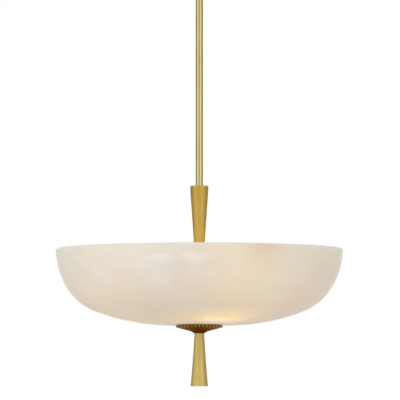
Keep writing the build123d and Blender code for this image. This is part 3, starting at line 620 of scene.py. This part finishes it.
globe_corners = outline(globe_side(GLOBE_RADIUS - GLOBE_WALL)[::-1], globe_side(GLOBE_RADIUS))
globe_eases = np.zeros(len(globe_corners))
globe_eases[[GLOBE_ROWS - 1, GLOBE_ROWS]] = MOUTH_EASE
globe_path = eased(globe_corners, globe_eases)
globe_grid = spun(globe_path[:, 0], globe_path[:, 1], GLOBE_COLUMNS)
for lamp, angle in enumerate(LAMP_ANGLES, start=1):
    globe = along_arm(globe_grid, angle, lamp_level)
    skin(f"blown_globe_{lamp}", [globe], opal, "opal_glass", "pendant", f"lamp_globe_{lamp}")

# Bowl. Turned from one block of alabaster, honed and waxed: cream stone that light goes some way into.
# It is cool and cloudy at the rim and rosy towards the bottom, a painted warm glow of the lamps within, with
# stains and milky drifts all round, and amber on the right of the front. In front it has painted shade in
# the middle and on the right, painted light low on the left, and the lamps' glow painted above the dish
# beside a darker patch of painted shade that damps it. It rests on a gasket and a washer round its hole.
CLOUDS = (6, 6, 9)
DRIFTS = (16, 16, 34)
DRIFT_SLANT = (0, 0.5, 0)
DRIFTS_ELSEWHERE = 0.2
FLECKS = (40, 40, 70)
WALL_MIDDLE = 0.95
# Painted warm glow of the lamps within: from the cool cream under the rim to the rosy cream over the bottom.
COOL_UNDER_RIM = 0.03
ROSY_OVER_BOTTOM = 0.01
COOL_CREAM = tint(227, 219, 210)
ROSY_CREAM = tint(236, 212, 193)
COOL_GREY = tint(206, 198, 203)
DUSKY_LILAC = tint(214, 194, 184)
PALE_ROSE = tint(250, 225, 206)
AMBER = tint(238, 210, 176)
BURNT_AMBER = tint(214, 178, 146)
LIGHT_HONEY = tint(255, 222, 184)
DULL_HONEY = tint(210, 188, 168)
MILK_WHITE = tint(236, 236, 234)
FLECK_WHITE = tint(238, 237, 234)
bowl_low, bowl_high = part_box("alabaster_bowl")
rim_level = bowl_high.z
bowl_radius = bowl_high.x


def along(material, axis, start, end):
    """0 to 1 between two places on one of the object's own axes."""
    where = wire(material, "ShaderNodeTexCoord").outputs["Object"]
    split = wire(material, "ShaderNodeSeparateXYZ", {"Vector": where})
    return ramp(material, split.outputs[axis], (start, end))


def near(material, place, reach):
    """1 at a place on the object, falling smoothly to 0 at a reach from it."""
    where = wire(material, "ShaderNodeTexCoord").outputs["Object"]
    far = wire(material, "ShaderNodeVectorMath", {0: where, 1: place}, operation="DISTANCE")
    return wire(material, "ShaderNodeMapRange", {
        "Value": far.outputs["Value"], "From Min": reach, "From Max": 0.0, "To Min": 0.0, "To Max": 1.0,
    }, interpolation_type="SMOOTHSTEP").outputs["Result"]


def in_front(right, forward, level):
    """Place at a level, to the right and to the front of the axis by shares of the bowl's radius."""
    return (right * bowl_radius, -forward * bowl_radius, level)


def on_wall(angle, below_rim):
    """Place in the wall at an angle from the front, counted to the right, and at a depth under the rim."""
    out = WALL_MIDDLE * bowl_radius
    return (out * sin(radians(angle)), -out * cos(radians(angle)), rim_level - below_rim)


# Stains and patches of painted light and shade. Each has its middle, its reach from there, its share of the
# mix at the middle and its colour.
STAINS_AND_PAINTED_LIGHT_AND_SHADE = (
    # Painted shade over the middle and left of the front, under the rim.
    (in_front(-0.06, 0.95, rim_level - 0.06), 0.15, 0.45, COOL_GREY),
    # Painted shade on the right side of the front.
    (in_front(0.86, 0.42, rim_level - 0.11), 0.17, 0.65, DUSKY_LILAC),
    # Painted light low on the left of the front.
    (in_front(-0.62, 0.50, rim_level - 0.14), 0.13, 0.45, PALE_ROSE),
    # Amber on the right of the front.
    (in_front(0.32, 0.90, rim_level - 0.06), 0.19, 0.34, AMBER),
    # Painted shade: a darker patch that damps the lamps' glow near the bottom.
    (in_front(0.18, 0.49, bowl_low.z + 0.009), 0.055, 0.40, BURNT_AMBER),
    # Painted warm glow of the lamps, just above the dish.
    (in_front(-0.11, 0.44, bowl_low.z + 0.006), 0.09, 0.50, LIGHT_HONEY),
    # Stains round the back.
    (on_wall(124, 0.06), 0.15, 0.42, AMBER),
    (on_wall(152, 0.05), 0.16, 0.60, PALE_ROSE),
    (on_wall(188, 0.10), 0.16, 0.50, AMBER),
    (on_wall(205, 0.02), 0.12, 0.50, COOL_GREY),
    (on_wall(222, 0.06), 0.15, 0.60, PALE_ROSE),
    (on_wall(246, 0.05), 0.13, 0.36, AMBER),
)

# Each milky place has its middle, its reach and how thickly the drifts lie there.
MILKY_PLACES = (
    (in_front(-0.20, 0.96, rim_level - 0.02), 0.12, 1.0),
    (in_front(-0.75, 0.62, rim_level - 0.04), 0.11, 0.4),
    (on_wall(118, 0.03), 0.11, 0.6),
    (on_wall(146, 0.08), 0.13, 0.6),
    (on_wall(172, 0.03), 0.13, 0.8),
    (on_wall(202, 0.08), 0.13, 0.6),
    (on_wall(234, 0.03), 0.13, 0.7),
)

alabaster = new_finish(
    "alabaster", Subsurface_Weight=0.7, Subsurface_Radius=(0.037, 0.036, 0.023), Subsurface_Scale=1.0,
)
cloud = noise(alabaster, CLOUDS, detail=3.0)
drift = noise(alabaster, DRIFTS, detail=5.0, turn=DRIFT_SLANT)
fleck = noise(alabaster, FLECKS, detail=4.0)
# Painted warm glow of the lamps within: cool under the rim, rosy over the bottom, shifted by the clouds.
depth = along(alabaster, "Z", rim_level - COOL_UNDER_RIM, bowl_low.z + ROSY_OVER_BOTTOM)
glow_and_clouds = combine(alabaster, "ADD", depth, ramp(alabaster, cloud, NOISE_SPAN, (-0.25, 0.25)))
stone = blend(alabaster, glow_and_clouds, COOL_CREAM, ROSY_CREAM)
for middle, reach, share, colour in STAINS_AND_PAINTED_LIGHT_AND_SHADE:
    strength = combine(alabaster, "MULTIPLY", near(alabaster, middle, reach), share)
    stone = blend(alabaster, strength, stone, colour)
# A duller honey patch at the rim, right of the front, broken up by the drifts.
honey_patch_place = near(alabaster, in_front(0.45, 0.89, rim_level), 0.08)
honey_patch = combine(alabaster, "MULTIPLY", honey_patch_place, ramp(alabaster, drift, (0.35, 0.6), (0.35, 0.7)))
stone = blend(alabaster, honey_patch, stone, DULL_HONEY)
milky = 0.0
for middle, reach, thickness in MILKY_PLACES:
    lying = combine(alabaster, "MULTIPLY", near(alabaster, middle, reach), thickness)
    milky = combine(alabaster, "MAXIMUM", milky, lying)
milky = combine(alabaster, "ADD", milky, DRIFTS_ELSEWHERE)
veil = combine(alabaster, "MULTIPLY", ramp(alabaster, drift, (0.42, 0.68), (0, 0.6)), milky)
stone = blend(alabaster, veil, stone, MILK_WHITE)
stone = blend(alabaster, ramp(alabaster, fleck, (0.6, 0.8), (0, 0.2)), stone, FLECK_WHITE)
feed(alabaster, "Base Color", stone)
feed(alabaster, "Roughness", ramp(alabaster, fleck, NOISE_SPAN, (0.42, 0.55)))
bump(alabaster, fleck, 0.00004)
dress(alabaster, "alabaster_bowl")

# Gaskets. Rings cut from pale silicone sheet, with a fine crumb in it.
# One lies on each side of the bowl's hole, and they keep the metal off the stone.
silicone = mottled(
    "gasket_silicone", blobs=(1400, 1400, 1400), detail=4.0, dark=tint(214, 206, 190),
    light=tint(232, 226, 212), roughness=(0.55, 0.7), relief=0.00003,
    Subsurface_Weight=0.15, Subsurface_Scale=0.001,
)
dress(silicone, "inner_gasket", "outer_gasket")

# Fluted dish. Cast brass, cut with flutes that widen to a scalloped edge, then aged: the lacquer stays dark
# in the flutes and is rubbed off along the ribs. Painted shade deepens the flutes and darkens the neck.
# It is clamped under the bowl by the spindle.
FLUTE_COUNT = 36
FLUTE_DEPTH = 0.0022
FLUTE_RIB = 0.0010
EDGE_NOTCH = 0.0016
RIB_SOFTNESS = 0.10
RUB_POWER = 4
COLUMNS_PER_FLUTE = 14
SLOPE_ROWS = 34
BELL_ROWS = 14
DISH_EDGE = 0.0040
DISH_NECK = 0.0105
DISH_SLOPE_END = 0.0220
DISH_SLOPE_DEPTH = 0.0112
SPINDLE_BORE = 0.00495
NUT_POCKET = 0.0108
NUT_POCKET_DEPTH = 0.0080
WASHER_POCKET = 0.0250
WASHER_POCKET_DEPTH = 0.0030
BLOTCHES = (240, 240, 240)


def bell_arc(start, direction, end):
    """Circle's arc that leaves a point along a direction and ends at another point.

    Its centre lies square to the direction, at half the chord² over the chord's share on that side.
    """
    chord = np.array(end) - start
    side = np.array([direction[1], -direction[0]])
    centre = start + chord @ chord / (2 * (chord @ side)) * side
    first = start - centre
    last = np.array(end) - centre
    whole_turn = atan2(first[0] * last[1] - first[1] * last[0], first @ last)
    turn = np.linspace(0, whole_turn, BELL_ROWS)[:, None]
    return centre + first * np.cos(turn) + np.array([-first[1], first[0]]) * np.sin(turn)


def fluted_dish_grid(radius, bottom, top):
    """Grid of the dish, with each point's share in a flute or the neck, and how much it is rubbed.

    A flute's hollow is 1 less the square of the distance from its middle over its half width, softly held
    above 0. It is pushed into the section along the section's own normal: on the slope by a depth that
    grows with the way from the flute's inner end, and on the edge by the depth of the notch. The rub is
    what the hollow leaves, times a power of that way. The share darkens the finish: dark lacquer deepened
    by painted shade in the flutes, and painted shade over the neck.
    """
    slope_low = np.array([DISH_SLOPE_END, top - DISH_SLOPE_DEPTH])
    edge_low = np.array([radius, top - DISH_EDGE])
    run = edge_low - slope_low
    bell = bell_arc(slope_low, -run / np.linalg.norm(run), (DISH_NECK, bottom))[::-1]
    way = np.linspace(0, 1, SLOPE_ROWS)[1:-1]
    slope = slope_low + way[:, None] * run
    rim_corners = outline(slope[-1], edge_low, (radius, top), (radius - 2 * EDGE_NOTCH, top))
    edge = eased(rim_corners, EDGE_EASE)[1:-1]
    inside = np.array([
        rim_corners[-1], (WASHER_POCKET, top), (WASHER_POCKET, top - WASHER_POCKET_DEPTH),
        (NUT_POCKET, top - WASHER_POCKET_DEPTH), (NUT_POCKET, top - NUT_POCKET_DEPTH),
        (SPINDLE_BORE, top - NUT_POCKET_DEPTH), (SPINDLE_BORE, bottom), bell[0],
    ])
    path = np.concatenate([bell, slope, edge, inside])
    edge_start = len(bell) + len(slope)
    edge_end = edge_start + len(edge)
    step = np.gradient(path, axis=0)
    inward = unit(np.stack([-step[:, 1], step[:, 0]], 1))
    inward[(edge_start + edge_end) // 2:edge_end] = (-1, 0)
    growth = np.zeros((len(path), 1))
    growth[len(bell):edge_start, 0] = way
    growth[edge_start:edge_end] = 1
    depth = FLUTE_DEPTH * growth
    depth[edge_start:edge_end] += (EDGE_NOTCH - FLUTE_DEPTH) * -inward[edge_start:edge_end, :1]
    half = np.maximum((radius * sin(pi / FLUTE_COUNT) - FLUTE_RIB / 2) * growth, TINY)
    pitch = 2 * pi / FLUTE_COUNT
    around = np.linspace(0, 2 * pi, COLUMNS_PER_FLUTE * FLUTE_COUNT, endpoint=False)
    off_middle = np.mod(around, pitch) - pitch / 2
    share = 1 - (path[:, :1] * off_middle / half) ** 2
    hollow = np.clip(0.5 * (share + np.sqrt(share ** 2 + RIB_SOFTNESS ** 2)), 0, 1)
    push = depth * hollow
    grid = spun(path[:, :1] + push * inward[:, :1], path[:, 1], around.size)
    grid[:, :, 2] += push * inward[:, 1:]
    # Painted shade over the neck: its share grows from the slope's inner end to full at the neck.
    neck = np.clip((DISH_SLOPE_END - path[:, :1]) / (DISH_SLOPE_END - DISH_NECK), 0, 1)
    return grid, np.maximum(hollow * growth, neck), (1 - hollow) * growth ** RUB_POWER


aged_brass = new_finish("aged_brass", Metallic=1.0, Specular_Tint=tint(150, 112, 58))
# Darker by the share in a flute or the neck: dark lacquer deepened by painted shade in the flutes, and
# painted shade over the neck.
lacquer = wire(aged_brass, "ShaderNodeAttribute", attribute_name="hollow").outputs["Fac"]
handled = wire(aged_brass, "ShaderNodeAttribute", attribute_name="rubbed").outputs["Fac"]
blotch = noise(aged_brass, BLOTCHES, detail=4.0)
darkened_by_lacquer_and_shade = ramp(aged_brass, lacquer, (0.05, 0.7), (0, 0.8))
patina_and_shade = combine(aged_brass, "ADD", darkened_by_lacquer_and_shade, ramp(aged_brass, blotch, (0.35, 0.65), (0, 0.25)))
brown = blend(aged_brass, patina_and_shade, tint(138, 108, 58), tint(80, 50, 6))
feed(aged_brass, "Base Color", blend(aged_brass, handled, brown, tint(188, 154, 90)))
feed(aged_brass, "Roughness", ramp(aged_brass, patina_and_shade, (0, 1), (0.34, 0.5)))
bump(aged_brass, blotch, 0.00003)
dish_low, dish_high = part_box("fluted_dish")
dish_grid, dish_lacquer_and_shade, dish_rubbed = fluted_dish_grid(dish_high.x, dish_low.z, dish_high.z)
skin(
    "scalloped_dish", [dish_grid], aged_brass, "aged_brass", "pendant", "fluted_dish",
    hollow=dish_lacquer_and_shade, rubbed=dish_rubbed
)

# Finial. A turned brass trumpet with its mouth down and a narrow lip, screwed on the spindle's end,
# and closed by a disc that is set back in its mouth.
FINIAL_NECK = 0.0103
FINIAL_BOW = 0.0005
FINIAL_LIP = 0.0040
FINIAL_LIP_STEP = 0.0004
FINIAL_CROWN = 0.0260
FINIAL_WALL = 0.0025
PLUG_LEDGE = 0.0012
finial_low, finial_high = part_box("finial")
plug_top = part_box("finial_plug")[1].z
finial_mouth = finial_high.x
finial_side_end = finial_mouth - FINIAL_LIP_STEP
plug_seat = finial_mouth - PLUG_LEDGE
lip_level = finial_low.z + FINIAL_LIP
finial_side = flared((FINIAL_NECK, finial_high.z), (finial_side_end, lip_level), FINIAL_BOW)
lip_corners = [
    finial_side[-2], finial_side[-1], (finial_mouth, lip_level), (finial_mouth, finial_low.z),
    (plug_seat, finial_low.z), (plug_seat, plug_top),
]
lip_path = eased(lip_corners, [0, 0, FINIAL_LIP_STEP / 2, EDGE_EASE, EDGE_EASE, 0])
crown_level = finial_high.z - FINIAL_CROWN
crown_share = FINIAL_CROWN / (finial_high.z - finial_low.z)
crown_in = FINIAL_NECK + crown_share * (finial_side_end - FINIAL_NECK) - FINIAL_WALL
cavity = flared((finial_side_end - FINIAL_WALL, plug_top), (crown_in, crown_level), FINIAL_BOW)
finial_path = outline(
    (SPINDLE_BORE, finial_high.z), finial_side[:-2], lip_path, cavity,
    (SPINDLE_BORE, crown_level), (SPINDLE_BORE, finial_high.z),
)
finial_brass = brushed_brass(
    "finial_brass", deep=tint(232, 203, 116), pale=tint(246, 219, 135), roughness=(0.48, 0.34),
    streaks=LENGTHWISE, relief=0.00001, spread=HIGHLIGHT_SPREAD, metal=LACQUERED,
)
turn_piece("flared_finial", finial_path, finial_brass, "finial")
dress(finial_brass, "finial_plug")

# Leads. Stranded wire in coloured insulation with a slight gloss: black live, white neutral, green earth.
# They run down the stem to the cluster, and a white pair goes on to each lampholder.
LEADS = (
    ("black_lead", tint(22, 22, 22), tint(38, 38, 38), ["lead_live"]),
    ("white_lead", tint(220, 220, 214), tint(236, 236, 230), ["lead_neutral", "socket_leads"]),
    ("green_lead", tint(36, 108, 56), tint(58, 140, 80), ["lead_earth"]),
)
for name, dark, light, leads in LEADS:
    cover = mottled(name, blobs=(800, 800, 80), detail=3.0, dark=dark, light=light, roughness=(0.34, 0.5))
    dress(cover, *leads)

# Room, light and camera. The camera stands far off, a little below the rim, at the picture's own scale.
# The world is white to the eye and to metal, and grey cards shape what the brass shows.
PICTURE_WIDTH = 400
METRES_PER_PIXEL = 0.0021265
CAMERA_DISTANCE = 20.0
BELOW_RIM = 0.89
PICTURE_CENTRE_LEVEL = -0.4815
AXIS_PIXEL = 199.3
SENSOR = 36.0
ROOM_HEIGHT = 2.7
AMBIENT = 0.64
CARD_DISTANCE = 6.0
CARD_FOOT = -2.6
CARD_HEIGHT = 5.2
CARD_STEPS = 8
FLOOR_REACH = 40.0
FLOOR_GREY = 0.9
FLOOR_WHITENESS = 0.9

camera_data = bpy.data.cameras.new("camera")
camera = bpy.data.objects.new("camera", camera_data)
bpy.context.scene.collection.objects.link(camera)
side_step = (PICTURE_WIDTH / 2 - AXIS_PIXEL) * METRES_PER_PIXEL
aim = Vector((side_step, 0, PICTURE_CENTRE_LEVEL))
camera.location = (side_step, -CAMERA_DISTANCE, rim_level - BELOW_RIM)
sight = aim - camera.location
camera.rotation_euler = sight.to_track_quat("-Z", "Y").to_euler()
camera_data.sensor_width = SENSOR
camera_data.lens = SENSOR * sight.length / (PICTURE_WIDTH * METRES_PER_PIXEL)
camera_data.clip_end = 5 * CAMERA_DISTANCE
bpy.context.scene.camera = camera
bpy.context.scene.view_settings.view_transform = "Standard"


def seen_directly(material):
    """1 for the rays by which the camera, metal and glass see a thing, and 0 for the light it sends out."""
    rays = wire(material, "ShaderNodeLightPath")
    seen = combine(material, "MAXIMUM", rays.outputs["Is Camera Ray"], rays.outputs["Is Glossy Ray"])
    return combine(material, "MAXIMUM", seen, rays.outputs["Is Transmission Ray"])


world = bpy.data.worlds.new("world")
bpy.context.scene.world = world
world.use_nodes = True
backdrop = world.node_tree.nodes["Background"]
backdrop.inputs["Color"].default_value = (1, 1, 1, 1)
brightness = ramp(world, seen_directly(world), (0, 1), (AMBIENT, 1.0))
world.node_tree.links.new(brightness, backdrop.inputs["Strength"])


def soft_box(name, place, aim_at, size, watts):
    """Large square lamp, aimed at a point, that shows in no reflection."""
    lamp = bpy.data.lights.new(name, "AREA")
    lamp.shape = "SQUARE"
    lamp.size = size
    lamp.energy = watts
    holder = bpy.data.objects.new(name, lamp)
    bpy.context.scene.collection.objects.link(holder)
    holder.location = place
    holder.rotation_euler = (Vector(aim_at) - Vector(place)).to_track_quat("-Z", "Y").to_euler()
    holder.visible_glossy = False
    holder.visible_camera = False


bowl_centre = (0, 0, rim_level)
soft_box("key", place=(-3.0, -3.4, 0.6), aim_at=bowl_centre, size=2.2, watts=62)
soft_box("fill", place=(3.4, -2.6, -0.4), aim_at=bowl_centre, size=2.4, watts=32)


def bare_material(name):
    """Material without a shader."""
    material = bpy.data.materials.new(name)
    material.use_nodes = True
    material.node_tree.nodes.remove(material.node_tree.nodes["Principled BSDF"])
    return material


def glow(material, grey):
    """Shader that gives off an even grey, or white at 1."""
    return wire(material, "ShaderNodeEmission", {"Color": (grey, grey, grey, 1), "Strength": 1.0}).outputs[0]


def room_thing(name, points, faces, material, shader):
    """Thing of the room, not of the light, with a shader on its surface."""
    output = material.node_tree.nodes["Material Output"]
    material.node_tree.links.new(shader, output.inputs["Surface"])
    mesh = bpy.data.meshes.new(name)
    mesh.from_pydata(points, [], faces)
    mesh.materials.append(material)
    made = bpy.data.objects.new(name, mesh)
    bpy.context.scene.collection.objects.link(made)
    return made


def card(name, start, end, grey):
    """Upright curved card round the light, seen only in metal: part of a cylinder between two angles."""
    angle = np.radians(np.linspace(start, end, CARD_STEPS + 1))
    foot = CARD_DISTANCE * np.stack([np.sin(angle), -np.cos(angle), 0 * angle], 1) + (0, 0, CARD_FOOT)
    points = np.concatenate([foot, foot + (0, 0, CARD_HEIGHT)])
    step = np.arange(CARD_STEPS)
    above = step + CARD_STEPS + 1
    faces = np.stack([step, step + 1, above + 1, above], 1)
    face = bare_material(name)
    made = room_thing(name, points.tolist(), faces.tolist(), face, glow(face, grey))
    made.visible_camera = False
    made.visible_diffuse = False
    made.visible_shadow = False
    made.visible_transmission = False
    made.visible_volume_scatter = False


# Each card goes from one angle to another, counted from the front to the right.
card("card_front", start=-14, end=22, grey=0.40)
card("card_front_left", start=-72, end=-14, grey=0.76)
card("card_right", start=62, end=150, grey=0.30)
card("card_left", start=-150, end=-84, grey=0.20)

# The floor is wide and pale, at room height under the ceiling, and a camera below it sees through it.
pale_floor = bare_material("pale_floor")
matte = wire(pale_floor, "ShaderNodeBsdfDiffuse", {"Color": (FLOOR_GREY, FLOOR_GREY, FLOOR_GREY, 1)})
whiteness = combine(pale_floor, "MULTIPLY", seen_directly(pale_floor), FLOOR_WHITENESS)
upper = wire(pale_floor, "ShaderNodeMixShader", {0: whiteness, 1: matte.outputs[0], 2: glow(pale_floor, 1)})
clear = wire(pale_floor, "ShaderNodeBsdfTransparent")
from_below = wire(pale_floor, "ShaderNodeNewGeometry").outputs["Backfacing"]
both = wire(pale_floor, "ShaderNodeMixShader", {0: from_below, 1: upper.outputs[0], 2: clear.outputs[0]})
floor_corners = [
    (-FLOOR_REACH, -FLOOR_REACH, -ROOM_HEIGHT), (FLOOR_REACH, -FLOOR_REACH, -ROOM_HEIGHT),
    (FLOOR_REACH, FLOOR_REACH, -ROOM_HEIGHT), (-FLOOR_REACH, FLOOR_REACH, -ROOM_HEIGHT),
]
floor = room_thing("floor", floor_corners, [(0, 1, 2, 3)], pale_floor, both.outputs[0])
